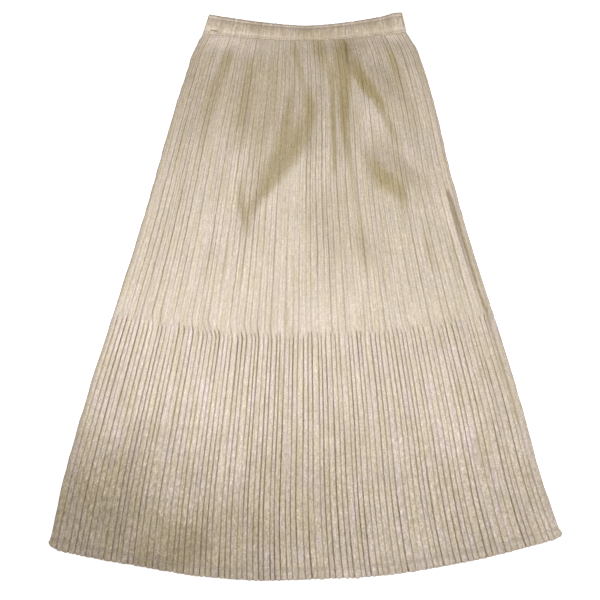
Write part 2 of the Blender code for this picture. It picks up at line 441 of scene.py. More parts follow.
MIDDLE_RIGHT = (
    Turn(66.0, 74.0, 8.0, 0.0), Turn(86.0, 78.0, 12.0, 4.6), Turn(110.0, 91.0, 14.0, 6.8),
    Turn(134.0, 107.0, 14.0, 6.4), Turn(148.0, 118.0, 11.0, 3.6), Turn(170.0, 126.0, 9.0, 1.7),
    Turn(199.0, 144.0, 10.0, 1.6), Turn(232.0, 160.0, 12.0, 1.8), Turn(260.0, 164.0, 14.0, 2.0),
    Turn(289.0, 160.0, 14.0, 1.8), Turn(321.0, 160.0, 11.0, 1.0), Turn(354.0, 167.0, 11.0, 0.0),
)
RIGHT_VEE = (
    Turn(216.0, 92.0, 12.0, 0.0),
    Turn(243.0, 107.0, 20.0, 4.4),
    Turn(262.0, 122.0, 26.0, 6.6),
    Turn(279.0, 134.0, 26.0, 6.6),
    Turn(294.0, 148.0, 18.0, 3.8),
    Turn(313.0, 156.0, 12.0, 0.0),
)
HIP_RIGHT = (
    Turn(46.0, 122.0, 8.0, 1.0),
    Turn(66.0, 133.0, 12.0, 2.9),
    Turn(92.0, 147.0, 13.0, 3.1),
    Turn(120.0, 161.0, 13.0, 2.2),
    Turn(160.0, 176.0, 12.0, 1.8),
    Turn(215.0, 188.0, 12.0, 0.0),
)
HIP_LEFT = (
    Turn(49.0, -122.0, 8.0, 0.0),
    Turn(70.0, -126.0, 13.0, 1.7),
    Turn(127.0, -148.0, 15.0, 1.9),
    Turn(175.0, -161.0, 12.0, 1.4),
    Turn(224.0, -172.0, 12.0, 0.0),
)
NEAR_HIP_LEFT = (
    Turn(60.0, -91.0, 9.0, 0.0),
    Turn(102.0, -92.0, 15.0, 1.7),
    Turn(159.0, -101.0, 15.0, 1.7),
    Turn(200.0, -107.0, 12.0, 1.0),
    Turn(248.0, -114.0, 12.0, 0.0),
)
BETWEEN_HIPS = (
    Turn(60.0, -56.0, 8.0, 0.0),
    Turn(92.0, -55.0, 12.0, 1.4),
    Turn(150.0, -54.0, 12.0, 1.1),
    Turn(190.0, -55.0, 11.0, 0.0),
)
LOW_MIDDLE = (
    Turn(335.0, 82.0, 12.0, 0.0),
    Turn(378.0, 91.0, 15.0, 1.4),
    Turn(412.0, 99.0, 12.0, 0.0),
)
LOW_RIGHT = (
    Turn(350.0, 190.0, 9.0, 0.0),
    Turn(394.0, 201.0, 11.0, 1.1),
    Turn(428.0, 212.0, 10.0, 0.0),
)
BROAD_MIDDLE = (
    Turn(270.0, 12.0, 44.0, 0.0),
    Turn(320.0, 22.0, 50.0, 2.2),
    Turn(395.0, 34.0, 50.0, 1.6),
    Turn(450.0, 44.0, 44.0, 0.0),
)
Fold = namedtuple("Fold", "turns reach")
FOLDS = (
    Fold(LONG_DIAGONAL, 95.0), Fold(BESIDE_DIAGONAL, 34.0), Fold(DIAGONAL_TIP, 30.0),
    Fold(OVER_DIAGONAL, 34.0), Fold(MIDDLE_LEFT, 34.0), Fold(MIDDLE, 60.0),
    Fold(MIDDLE_LINE, 12.0), Fold(MIDDLE_RIGHT, 44.0), Fold(RIGHT_VEE, 44.0),
    Fold(HIP_RIGHT, 36.0), Fold(HIP_LEFT, 40.0), Fold(NEAR_HIP_LEFT, 40.0),
    Fold(BETWEEN_HIPS, 30.0), Fold(LOW_MIDDLE, 40.0), Fold(LOW_RIGHT, 34.0),
    Fold(BROAD_MIDDLE, 90.0),
)
EDGE_CREASE = (
    Turn(285.0, 228.0, 2.6, 0.0),
    Turn(303.0, 235.8, 2.8, 2.0),
    Turn(357.0, 252.3, 3.4, 2.6),
    Turn(390.0, 262.7, 3.2, 2.4),
    Turn(439.0, 277.1, 2.8, 1.5),
    Turn(491.0, 295.8, 2.6, 0.7),
    Turn(620.0, 333.0, 2.6, 0.5),
    Turn(730.0, 364.0, 2.6, 0.4),
    Turn(800.0, 384.0, 2.4, 0.0),
)
SLIT = (
    Turn(44.0, 64.0, 1.2, 1.5),
    Turn(52.0, 64.5, 1.5, 2.6),
    Turn(72.0, 66.0, 1.5, 1.6),
    Turn(90.0, 67.0, 1.3, 0.0),
)
CREASES = (EDGE_CREASE, SLIT)
STEEP = 0.24
# Patches of painted highlight, and of painted shade where the amount is negative.
PaintedPatch = namedtuple("PaintedPatch", "x down lean wide long amount")
PAINTED_PATCHES = (
    PaintedPatch(-134.0, 47.0, 0.0, 26.0, 12.0, 1.3),
    PaintedPatch(-92.0, 58.0, 0.3, 24.0, 13.0, 0.8),
    PaintedPatch(141.0, 41.0, 0.3, 12.0, 9.0, 1.0),
    PaintedPatch(103.0, 64.0, 0.3, 24.0, 26.0, 0.75),
    PaintedPatch(180.0, 115.0, 0.3, 22.0, 60.0, 0.45),
    PaintedPatch(205.0, 240.0, 0.3, 40.0, 80.0, 0.2),
    PaintedPatch(128.0, 272.0, 0.3, 24.0, 18.0, -0.6),
    PaintedPatch(167.0, 238.0, 0.2, 14.0, 20.0, 0.3),
    PaintedPatch(104.0, 126.0, 0.85, 12.0, 16.0, -0.4),
    PaintedPatch(106.0, 172.0, 0.35, 14.0, 30.0, 0.8),
    PaintedPatch(31.0, 200.0, 0.0, 5.0, 75.0, 0.5),
    PaintedPatch(-116.0, 275.0, -0.2, 8.0, 45.0, 0.5),
    PaintedPatch(-96.0, 440.0, 0.0, 14.0, 50.0, 0.3),
    PaintedPatch(240.0, 690.0, 0.2, 70.0, 100.0, 0.3),
    PaintedPatch(-190.0, 610.0, 0.0, 50.0, 60.0, 0.12),
    PaintedPatch(-20.0, 590.0, 0.0, 110.0, 55.0, 0.12),
    PaintedPatch(0.0, 750.0, 0.0, 95.0, 70.0, -0.15),
    PaintedPatch(-70.0, 850.0, 0.0, 110.0, 75.0, -0.25),
    PaintedPatch(380.0, 850.0, 0.0, 60.0, 45.0, 0.25),
    PaintedPatch(-392.0, 845.0, 0.0, 25.0, 28.0, 0.35),
    PaintedPatch(-70.0, 190.0, 0.0, 40.0, 60.0, -0.3),
    PaintedPatch(50.0, 340.0, 0.2, 30.0, 60.0, -0.12),
    PaintedPatch(100.0, 390.0, 0.3, 40.0, 60.0, -0.08),
    PaintedPatch(0.0, 110.0, 0.0, 45.0, 45.0, 0.2),
    PaintedPatch(-215.0, 870.0, -0.4, 75.0, 50.0, -0.55),
    PaintedPatch(-330.0, 780.0, -0.3, 70.0, 90.0, -0.35),
    PaintedPatch(-10.0, 915.0, 0.0, 170.0, 45.0, 0.4),
    PaintedPatch(-300.0, 650.0, -0.3, 30.0, 80.0, 0.15),
    PaintedPatch(255.0, 640.0, 0.3, 45.0, 90.0, 0.2),
)


def read_turns(turns, down):
    """Where a fold's line is at each place down, how wide it is there and how high."""
    knots = [turn.down for turn in turns]
    centre = np.interp(down, knots, [turn.x for turn in turns])
    half = np.interp(down, knots, [turn.half for turn in turns])
    height = np.interp(down, knots, [turn.height for turn in turns], left=0.0, right=0.0)
    return centre, half, height


def fold_height(x, down):
    """The height that the folds add, and how far they turn the cloth away as painted shade, from 0
    to 1.
    """
    total = np.zeros_like(x)
    slope = np.zeros_like(x)
    for fold in FOLDS:
        centre, half, height = read_turns(fold.turns, down)
        rise = np.clip((x - centre + half) / (2.0 * half), 0.0, 1.0)
        fall = 1.0 - smooth((x - centre - half) / fold.reach)
        total += height * smooth(rise) * fall
        slope += height * 6.0 * rise * (1.0 - rise) / (2.0 * half)
    return total, np.clip(slope / STEEP, 0.0, 1.0)


def painted_patches(x, down):
    """Painted highlight where the cloth turns towards the light, up to 1, and painted shade where it
    turns away, down to -1.
    """
    total = np.zeros_like(x)
    for spot in PAINTED_PATCHES:
        along = down - spot.down
        sideways = x - spot.x - spot.lean * along
        total += spot.amount * bell(sideways, spot.wide) * bell(along, spot.long)
    return np.clip(total, -1.0, 1.0)


def crease_height(x, down):
    """The height that creases add, and the painted shade in their grooves."""
    total = np.zeros_like(x)
    dark = np.zeros_like(x)
    for turns in CREASES:
        centre, half, depth = read_turns(turns, down)
        groove = bell(x - centre, half)
        ridge = bell(x - centre + 2.6 * half, 1.4 * half)
        total += depth * (0.6 * ridge - groove)
        dark += smooth(depth) * groove
    return total, dark


print(len(FOLDS), "folds and", len(CREASES), "creases")

# %% [markdown]
# ## One way to lay a sheet
# Every cloth piece starts as a grid primitive. Its points are moved onto the form, and the whole
# face is then extruded straight down by the cloth's thickness, which closes the wall. Moving
# straight down keeps the wall from crossing itself in a narrow valley, where a Solidify modifier
# would fold over. Numbers that the materials need are stored on the points.

# %% One way to lay a sheet
SHADE_ANGLE = 62.0


def edit_all(operation, **settings):
    """Run one operation in edit mode, on all of the active mesh."""
    bpy.ops.object.mode_set(mode="EDIT")
    bpy.ops.mesh.select_all(action="SELECT")
    operation(**settings)
    bpy.ops.object.mode_set(mode="OBJECT")


def points_of(mesh):
    points = np.empty(len(mesh.vertices) * 3)
    mesh.vertices.foreach_get("co", points)
    return points.reshape(-1, 3)


def lay_sheet(name, x, down, z, under, numbers):
    """A closed sheet of cloth through a grid of points, given row by row in millimetres.

    Under is the height of the lower side under each point.
    """
    rows, columns = x.shape
    bpy.ops.object.select_all(action="DESELECT")
    bpy.ops.mesh.primitive_grid_add(x_subdivisions=columns - 1, y_subdivisions=rows - 1, size=2.0)
    sheet = bpy.context.active_object
    sheet.name = name
    mesh = sheet.data
    mesh.name = name
    flat = points_of(mesh)
    column = np.rint((flat[:, 0] + 1.0) / 2.0 * (columns - 1)).astype(int)
    row = np.rint((1.0 - flat[:, 1]) / 2.0 * (rows - 1)).astype(int)
    place = np.stack([x, TOTAL_LENGTH / 2.0 - down, z], axis=-1) * MM
    mesh.vertices.foreach_set("co", place[row, column].ravel())
    for label, values in numbers.items():
        attribute = mesh.attributes.new(label, "FLOAT", "POINT")
        attribute.data.foreach_set("value", values[row, column].astype(np.float32))
    drop = mesh.attributes.new("drop", "FLOAT", "POINT")
    drop.data.foreach_set("value", ((z - under) * MM)[row, column].astype(np.float32))
    before = len(mesh.vertices)
    move = {"value": (0.0, 0.0, -MM)}
    edit_all(bpy.ops.mesh.extrude_region_move, TRANSFORM_OT_translate=move)
    lower = points_of(mesh)
    drops = np.empty(len(mesh.vertices), np.float32)
    mesh.attributes["drop"].data.foreach_get("value", drops)
    lower[before:, 2] += MM - drops[before:]
    mesh.vertices.foreach_set("co", lower.ravel())
    edit_all(bpy.ops.mesh.normals_make_consistent, inside=False)
    mesh.attributes.remove(mesh.attributes["drop"])
    bpy.ops.object.shade_smooth_by_angle(angle=math.radians(SHADE_ANGLE))
    print(name, len(mesh.polygons) * 2, "triangles")
    return sheet


# %% [markdown]
# ## Front panel
# The front lies on the back and stands off it a little over the hips, where the two are loose.
# At the side seams it turns down to meet the back. At the hem's stitch line the thread pulls the
# cloth in, and the raw edge below it flutters and is notched at every valley. The lower left is
# worn: its pleats are weaker and its mottle is stronger. Two calm places have fainter painted shade
# in their valleys than the rest, and a lively one at the hem has stronger. The creases, the rolled
# side seams and the pinch of the stitch line also get painted shade.

# %% Front panel
CLOTH = 0.9
WAIST = SECTIONS[0].middle
TOPS = ((46.6, 4.6), (130.0, 4.7), (388.0, 4.9), (505.0, 7.0), (530.0, 7.3), (922.0, 8.4))
SIDE_ROLL = 6.0
SEAM_HEIGHT = 2.5
# Painted shade over the hips below the waist.
BELLY_SHADE = 0.23
HEM_FLUTTER = (-0.6, 1.2)
HEM_NOTCH = 1.2
SIDE_FUZZ = 0.8


def facing(tilt, x, down, middle):
    """Painted shade where the cloth faces away from the light, and painted highlight where it faces
    towards it and the value is negative.
    """
    waist = smooth((middle - WAIST) / 30.0)
    # Painted shade over the hips, fading in below the waistband and out further down.
    belly_shade = BELLY_SHADE * (1.0 - smooth((middle - 125.0) / 150.0)) * waist
    # Patches of painted highlight, and of painted shade where negative.
    painted_light = painted_patches(x, down)
    return np.clip(tilt + belly_shade, 0.0, 1.0) * (1.0 - np.abs(painted_light)) - painted_light


def ragged_edges(s, x, down, middle, from_side, rib_number):
    """The hem with its flutter and notches, and the side seams a little uneven."""
    from_valley = np.abs((rib_number + 0.5) % 1.0 - 0.5)
    notch = HEM_NOTCH * np.clip(1.0 - from_valley / 0.2, 0.0, 1.0)
    flutter = chance.uniform(*HEM_FLUTTER, s.shape[1]) - notch
    fuzz = chance.uniform(-SIDE_FUZZ, SIDE_FUZZ, (len(front_rows), 2))
    fuzz = np.where(s < 0.5, fuzz[:, :1], fuzz[:, 1:])
    x = x + fuzz * np.clip(1.0 - from_side / SIDE_ROLL, 0.0, 1.0)
    return x, down + flutter * (middle == TOTAL_LENGTH)


def front_panel():
    """The points of the front and the numbers that its material needs."""
    s, sink, groove, rib_number, sharp = pleat_grid(front_rows)
    middle = np.broadcast_to(front_rows[:, None], s.shape)
    x, down = on_panel(s, middle)
    puff = through(SECTIONS, "puff", front_rows)[:, None] * (1.0 - (2.0 * s - 1.0) ** 4)
    crease, dark = crease_height(x, down)
    fold, tilt = fold_height(x, down)
    # Painted shade on the folds' flanks and over the hips, and patches of painted highlight and
    # painted shade.
    tilt = facing(tilt, x, down, middle)
    stitch = bell(middle - HEM_STITCH, 2.2)
    worn = bell(x + 290.0, 190.0) * bell(down - 800.0, 130.0)
    sewn = smooth((middle - WAIST) / 24.0)
    sink = sink * (1.0 - 0.2 * worn) * (1.0 - 0.4 * stitch)
    z = by_row(front_rows, TOPS) + puff + fold * sewn + crease - sink - 0.5 * stitch
    from_side = np.minimum(s, 1.0 - s) * (x[:, -1:] - x[:, :1])
    roll = np.sqrt(1.0 - (1.0 - np.clip(from_side / SIDE_ROLL, 0.0, 1.0)) ** 2)
    z = SEAM_HEIGHT + (z - SEAM_HEIGHT) * roll
    x, down = ragged_edges(s, x, down, middle, from_side, rib_number)

    calm = bell(np.abs(x) - 200.0, 110.0) * bell(down - 640.0, 100.0)
    lively = bell(x - 10.0, 170.0) * bell(down - 840.0, 90.0)
    rougher = 0.4 + 0.6 * smooth((middle - 560.0) / 240.0) + 1.1 * worn
    # Darker at the hem: painted shade in the pinch of the stitch line, and darker below it and along
    # the raw edge.
    hem = 0.06 * smooth((middle - HEM_STITCH) / 4.0) + 0.25 * stitch + 0.5 * (middle > 920.0)
    numbers = {
        # Painted shade in the grooves, valleys and creases, and in the pinch of the hem's stitch
        # line.
        "groove": np.clip(groove + dark + 0.3 * stitch, 0.0, 1.0),
        # Painted shade, and painted highlight where negative.
        "tilt": tilt,
        "across": s * HEM_WIDTH * MM,
        "rib_number": rib_number,
        "sharp": sharp * (1.0 - 0.4 * worn - 0.55 * calm + 0.5 * lively),
        "rib": smooth((middle - LINING_END) / 8.0) * rougher,
        # Painted shade where the sides roll down, and the darker hem.
        "edge": np.maximum(bell(from_side, 1.3), hem),
    }
    return x, down, z, numbers


front_x, front_down, front_z, front_numbers = front_panel()
front = lay_sheet("skirt_front", front_x, front_down, front_z, front_z - CLOTH, front_numbers)

# %% [markdown]
# ## Back panel
# The same cloth face down. Its outer folds are pressed flat on the floor by the weight above, and
# nothing of it shows from the front but its edge, so its rows are wider apart.

# %% Back panel
BACK_STRETCHES = (
    Stretch(46.6, 74.0, 3),
    Stretch(74.0, 498.0, 12),
    Stretch(498.0, 546.0, 6),
    Stretch(546.0, 894.0, 9),
    Stretch(894.0, 922.0, 4),
)
BACK_STEPS = 6
BACK_DEPTHS = ((46.6, 0.9), (518.0, 1.1), (527.0, 2.4), (922.0, 3.2))


def back_panel():
    """The points of the back, whose pleats rise from the floor between their flat outer folds."""
    rows = row_middles(BACK_STRETCHES)
    columns = PLEATS * BACK_STEPS
    at = np.arange(columns + 1)
    ribs = uneven_lines(PLEATS, 0.1)
    s = np.interp(at, np.arange(PLEATS + 1) * BACK_STEPS, ribs)[None, :] + 0.0 * rows[:, None]
    x, down = on_panel(s, np.broadcast_to(rows[:, None], s.shape))
    phase = np.abs((at % BACK_STEPS) / BACK_STEPS * 2.0 - 1.0)
    rise = 1.0 - np.clip((phase - 0.05) / 0.6, 0.0, 1.0)
    edge = 0.15 + 0.85 * smooth(np.minimum(at, columns - at) / BACK_STEPS / 2.5)
    under = by_row(rows, BACK_DEPTHS) * rise * edge + 0.0 * x
    # Painted shade that grows where the pleats rise from the floor.
    numbers = {"groove": np.broadcast_to(rise**2, x.shape), "across": s * HEM_WIDTH * MM}
    return x, down, under + CLOTH, numbers


back_x, back_down, back_z, back_numbers = back_panel()
back = lay_sheet("skirt_back", back_x, back_down, back_z, back_z - CLOTH, back_numbers)

# %% [markdown]
# ## Waistband
# The band is cloth folded over a wide elastic and stitched along both edges. The elastic draws it
# up, so it is covered in fine upright gathers, of which every few stand higher. It is made like
# the panels, with gathers in place of pleats and a flat underside. A short table gives its lines
# from the top edge to the foot: how high each stands and how much of the gathers' height it has.

# %% Waistband
BandLine = namedtuple("BandLine", "share rise gather")
BAND_LINES = (
    BandLine(0.0, 0.7, 0.5), BandLine(0.035, 1.2, 0.7), BandLine(0.08, 1.6, 0.8),
    BandLine(0.14, 1.7, 0.8), BandLine(0.20, 1.1, 0.4), BandLine(0.27, 1.8, 0.9),
    BandLine(0.40, 2.3, 1.0), BandLine(0.55, 2.4, 1.0), BandLine(0.70, 2.2, 1.0),
    BandLine(0.80, 1.7, 0.8), BandLine(0.87, 1.1, 0.3), BandLine(0.92, 1.7, 0.5),
    BandLine(0.97, 1.8, 0.6), BandLine(1.0, 1.1, 0.5),
)
BAND_TOP = Section(21.5, 3.2, 0.0, 157.5, 156.0, 1.45, 1.6, 0.0)
BAND_FOOT = Section(46.3, 34.5, 32.0, 167.8, 163.5, 1.6, 1.6, 0.0)
BAND_WIDTH = BAND_FOOT.left + BAND_FOOT.right
BAND_COLUMNS = 560
FINE_GATHERS = 78
COARSE_GATHERS = 27
GATHER_HEIGHT = 0.55
TOP_ROW = 0.2
FOOT_ROW = 0.87
FRONT_BASE = 3.4
PERK = 1.8


def band_place(s, share):
    """The places (x, down) on the band, whose right end stands up a little."""
    side = 2.0 * s - 1.0

    def between(name):
        return getattr(BAND_TOP, name) + (getattr(BAND_FOOT, name) - getattr(BAND_TOP, name)) * share

    end = np.where(side < 0.0, between("left_end"), between("right_end"))
    bow = np.where(side < 0.0, between("left_bow"), between("right_bow"))
    x = -between("left") + (between("left") + between("right")) * s
    perk = PERK * bell(side - 0.9, 0.07) * (1.0 - share)
    return x, -perk + between("middle") + (end - between("middle")) * np.abs(side) ** bow


def gather_waves(count, power):
    """Heights from 0 to 1 across the band, with waves of uneven width and size."""
    lines = uneven_lines(count, 0.45)
    at = np.linspace(0.0, 1.0, BAND_COLUMNS + 1)
    phase = np.interp(at, lines, np.arange(count + 1))
    size = chance.uniform(0.35, 1.0, count + 1)
    return np.sin(math.pi * (phase % 1.0)) ** power * size[np.floor(phase).astype(int)]


def gathers():
    """The fine gathers of the elastic over a few coarser ones."""
    both = 0.8 * gather_waves(FINE_GATHERS, 0.7) + 0.35 * gather_waves(COARSE_GATHERS, 0.6)
    return np.clip(both, 0.0, 1.1)


def band_half(name, base):
    """One half of the band, laid on base, and its points."""
    share, rise, gain = np.array(BAND_LINES).T[:, :, None]
    s = np.linspace(0.0, 1.0, BAND_COLUMNS + 1)[None, :] + 0.0 * share
    sway = wander(BAND_COLUMNS, share[:, 0] * 25.0, 8, 0.0012, (0.7, 1.6))
    s = s + sway * np.clip(np.minimum(s, 1.0 - s) * 40.0, 0.0, 1.0)
    x, down = band_place(s, share)
    wave = gathers()[None, :]
    ragged = (wave - 0.5) * 0.8 * (share < 0.02)
    end_round = smooth(np.minimum(s, 1.0 - s) * 320.0 / 3.0)
    z = base + (rise + GATHER_HEIGHT * gain * wave) * (0.45 + 0.55 * end_round)
    top_row = bell(share - TOP_ROW, 0.04)
    foot_row = bell(share - FOOT_ROW, 0.035)
    # Painted shade between the gathers and along the two rows of stitches, weaker at the ends.
    groove = np.clip(1.0 - wave, 0.0, 1.0) * gain + 0.9 * top_row + 0.3 * foot_row
    groove = groove * (0.3 + 0.7 * smooth((np.minimum(s, 1.0 - s) - 0.02) * 4.0))
    down = down - ragged
    numbers = {
        "groove": np.clip(groove, 0.0, 1.0),
        "across": s * BAND_WIDTH * MM,
        # Darker along the top edge, and painted shade along the top row of stitches.
        "edge": np.maximum(1.0 * (share < 0.04), 0.8 * top_row) + 0.0 * x,
        # Painted shade of a soft fold across the middle, darker towards the foot.
        "tilt": 0.45 * bell(x - 22.0, 62.0) * share,
    }
    sheet = lay_sheet(name, x, down, z, np.full_like(z, base), numbers)
    return sheet, x, down, z


band_front, band_x, band_down, band_z = band_half("waistband_front_cloth", FRONT_BASE)
band_back, _, _, _ = band_half("waistband_back_cloth", 0.0)

# %% [markdown]
# ## Stitches
# Every stitch is a short piece of thread that dives into the cloth at both ends. One is modelled as
# a stretched ball, copied along a line over the cloth at the sewing machine's pitch, and turned to
# follow it. A row of them is then joined into one piece.

# %% Stitches
THREAD_PITCH = 3.4
TACK_HEIGHT = 3.3
BAR_TACK = ((-154.5, 29.8), (-149.0, 30.4), (-143.2, 31.4))
LOOSE_THREAD = ((-242.0, 866.0), (-241.0, 872.0), (-239.0, 877.5), (-233.0, 880.5), (-226.5, 882.0))


def one_stitch(length, thickness):
    """A ball whose poles lie on the X axis, stretched along it."""
    bpy.ops.object.select_all(action="DESELECT")
    bpy.ops.mesh.primitive_uv_sphere_add(segments=6, ring_count=5, radius=1.0)
    ball = bpy.context.active_object
    origin = (0.0, 0.0, 0.0)
    size = (length / 2 * MM, thickness / 2 * MM, thickness / 2 * MM)
    edit_all(bpy.ops.transform.rotate, value=math.pi / 2, orient_axis="Y", center_override=origin)
    edit_all(bpy.ops.transform.resize, value=size, center_override=origin)
    bpy.ops.object.shade_smooth()
    return ball


def sew(name, line, pitch, length, thickness, slant=0.0):
    """A row of stitches along a line of points (x, down, z) in millimetres."""
    line = np.asarray(line, float)
    place = np.stack([line[:, 0], TOTAL_LENGTH / 2.0 - line[:, 1], line[:, 2]], axis=-1)
    run = np.append(0.0, np.cumsum(np.hypot(*np.diff(place[:, :2], axis=0).T)))
    first = one_stitch(length, thickness)
    copies = []
    for middle in np.arange(pitch / 2.0, run[-1], pitch):
        a, b, centre = (
            np.array([np.interp(at, run, place[:, k]) for k in range(3)])
            for at in (middle - length / 2.0, middle + length / 2.0, middle)
        )
        heading = math.atan2(b[1] - a[1], b[0] - a[0]) + slant * chance.uniform(0.7, 1.3)
        rise = math.atan2(b[2] - a[2], math.hypot(b[0] - a[0], b[1] - a[1]))
        copy = first.copy()
        copy.data = first.data.copy()
        bpy.context.collection.objects.link(copy)
        copy.rotation_euler = (0.0, -rise, heading)
        copy.location = [v * MM for v in (*centre[:2], (a[2] + b[2]) / 2.0)]
        copies.append(copy)
    bpy.data.objects.remove(first, do_unlink=True)
    bpy.ops.object.select_all(action="DESELECT")
    for copy in copies:
        copy.select_set(True)
    bpy.context.view_layer.objects.active = copies[0]
    bpy.ops.object.join()
    bpy.ops.object.transform_apply(location=True, rotation=True, scale=True)
    row = bpy.context.active_object
    row.name = name
    row.data.name = name
    print(name, len(copies), "stitches")
    return row


def over_band(share, lift):
    """A line of points over the front band, at a share of its height."""
    shares = [line.share for line in BAND_LINES]
    columns = range(4, BAND_COLUMNS - 3, 2)
    return [
        [np.interp(share, shares, values[:, c]) + add
         for values, add in ((band_x, 0.0), (band_down, 0.0), (band_z, lift))]
        for c in columns
    ]


def over_front(points, lift):
    """The points (x, down), set on the front panel at their nearest points."""
    line = []
    for x, down in points:
        near = np.argmin((front_x - x) ** 2 + (front_down - down) ** 2)
        line.append((x, down, front_z.flat[near] + lift))
    return line


hem_row = int(np.argmin(np.abs(front_rows - HEM_STITCH)))
hem_line = np.stack([front_x[hem_row], front_down[hem_row], front_z[hem_row] + 0.5], axis=-1)
hem_thread = sew("hem_stitches", hem_line[6:-6], THREAD_PITCH, 2.8, 1.0)
top_thread = sew("band_top_stitches", over_band(TOP_ROW, 0.2), THREAD_PITCH, 2.6, 0.7)
foot_thread = sew("band_foot_stitches", over_band(FOOT_ROW, 0.45), THREAD_PITCH, 2.8, 1.1)
tack_line = [(x, down, FRONT_BASE + TACK_HEIGHT) for x, down in BAR_TACK]
tack = sew("bar_tack", tack_line, 0.9, 2.6, 0.7, 1.1)
loose = sew("loose_thread", over_front(LOOSE_THREAD, 0.6), 1.6, 2.4, 1.0)

# %% [markdown]
# ## Cloth material
# The cloth is a champagne satin with a faint foil on it. Its colour is built up in steps: patches
# along the pleats that lean pink or olive, then mottle and streaks of five sizes, then painted
# shade, darker and yellower, where the cloth faces away and a paler painted highlight where it
# faces the light, and last painted shade in the grooves and the drawn valleys, and the darker
# edges, which are painted shade where the sides roll down and along stitch lines and darker in
# colour along the hem and the band's top edge. A little metal and a middling roughness give the
# satin its broad shine, and a small bump gives the crinkled foil. The thread at the hem is pink,
# that along the band's top is dull, and the rest is pale.

# %% Cloth material
CHAMPAGNE = (0.60, 0.505, 0.385)
BAND_CHAMPAGNE = (0.727, 0.60, 0.45)
# The colour of the painted shade in the grooves and the drawn valleys.
GROOVE_SHADE = (0.22, 0.15, 0.055)
PALE_THREAD = (0.86, 0.78, 0.66)
DULL_THREAD = (0.40, 0.32, 0.22)
PINK_THREAD = (0.76, 0.63, 0.54)
MAUVE = (0.609, 0.505, 0.436)
OLIVE = (0.594, 0.496, 0.352)
# Tints of the painted shade where the cloth faces away, and of the painted highlight where it faces
# the light.
PAINTED_SHADE_TINT = (0.70, 0.655, 0.44)
PAINTED_HIGHLIGHT_TINT = (1.28, 1.265, 1.34)
DULL_TINT = (1.0, 0.98, 0.88)
PALE_TINT = (1.0, 1.01, 1.09)
# The darker edges: painted shade where the sides roll down and along stitch lines, and darker along
# the hem and the band's top edge.
EDGE_COLOUR = (0.34, 0.28, 0.27)
DRAWN_SHARE = 0.58


class Nodes:
    """A short way to write a material's nodes and join them up."""

    def __init__(self, name):
        self.material = bpy.data.materials.new(name)
        self.material.use_nodes = True
        self.tree = self.material.node_tree
        self.shader = self.tree.nodes["Principled BSDF"]

    def add(self, kind, values=None, **settings):
        node = self.tree.nodes.new(kind)
        for key, value in settings.items():
            setattr(node, key, value)
        for key, value in (values or {}).items():
            if isinstance(value, bpy.types.NodeSocket):
                self.tree.links.new(value, node.inputs[key])
            else:
                node.inputs[key].default_value = value
        return node

    def noise(self, vector, scale, detail=2.0, roughness=0.5):
        values = {"Vector": vector, "Scale": scale, "Detail": detail, "Roughness": roughness}
        return self.add("ShaderNodeTexNoise", values).outputs["Fac"]

    def value(self, name):
        """A number that is stored on the points."""
        return self.add("ShaderNodeAttribute", attribute_name=name).outputs["Fac"]

    def maths(self, operation, first, second):
        values = {0: first, 1: second}
        return self.add("ShaderNodeMath", values, operation=operation).outputs[0]

    def times(self, first, second):
        return self.maths("MULTIPLY", first, second)

    def plus(self, first, second):
        return self.maths("ADD", first, second)

    def along_pleats(self, place, stretch):
        """Coordinates in which a pattern runs along the pleats, drawn out by 1 / stretch."""
        down = self.add("ShaderNodeSeparateXYZ", {0: place}).outputs["Y"]
        waver = self.spread(self.noise(place, 70.0), 0.3, 0.7, -0.0008, 0.0008)
        values = {0: self.plus(self.value("across"), waver), 1: self.times(down, stretch)}
        return self.add("ShaderNodeCombineXYZ", values).outputs[0]

    def spread(self, value, low, high, to_low, to_high):
        """A number's range, from low to high, stretched to another and clamped to it."""
        values = {0: value, 1: low, 2: high, 3: to_low, 4: to_high}
        return self.add("ShaderNodeMapRange", values).outputs["Result"]

    def mix(self, share, first, second, blend_type="MIX"):
        node = self.add("ShaderNodeMix", data_type="RGBA", blend_type=blend_type)
        for socket, value in ((0, share), (6, first), (7, second)):
            if isinstance(value, bpy.types.NodeSocket):
                self.tree.links.new(value, node.inputs[socket])
            elif socket == 0:
                node.inputs[socket].default_value = value
            else:
                node.inputs[socket].default_value = (*value, 1.0)
        return node.outputs[2]


def patched(nodes, along, base):
    """The base colour with patches that lean pink or olive, pinker on the standing pleats."""
    patches = nodes.noise(along, 50.0, 4.0, 0.6)
    pinkest = nodes.spread(nodes.value("rib"), 0.0, 0.4, 0.5, 0.9)
    colour = nodes.mix(nodes.spread(patches, 0.5, 0.62, 0.0, pinkest), base, MAUVE)
    return nodes.mix(nodes.spread(patches, 0.38, 0.5, 0.9, 0.0), colour, OLIVE)


def mottled(nodes, colour, patterns, mottle):
    """The colour made darker and lighter by patterns, each with its share on flats and on ribs."""
    rib = nodes.value("rib")
    tone = nodes.spread(rib, 0.0, 1.0, 1.0, 1.07)
    for pattern, plain, ribbed, lift in patterns:
        size = nodes.spread(rib, 0.0, 2.0, plain * mottle, (2.0 * ribbed - plain) * mottle)
        low = nodes.maths("SUBTRACT", 1.0, size)
        high = nodes.plus(1.0, nodes.times(size, lift))
        tone = nodes.times(tone, nodes.spread(pattern, 0.3, 0.7, low, high))
    colour = nodes.mix(1.0, colour, tone, "MULTIPLY")
    hue = nodes.mix(nodes.spread(tone, 0.7, 1.3, 0.0, 1.0), DULL_TINT, PALE_TINT)
    return nodes.mix(1.0, colour, hue, "MULTIPLY")


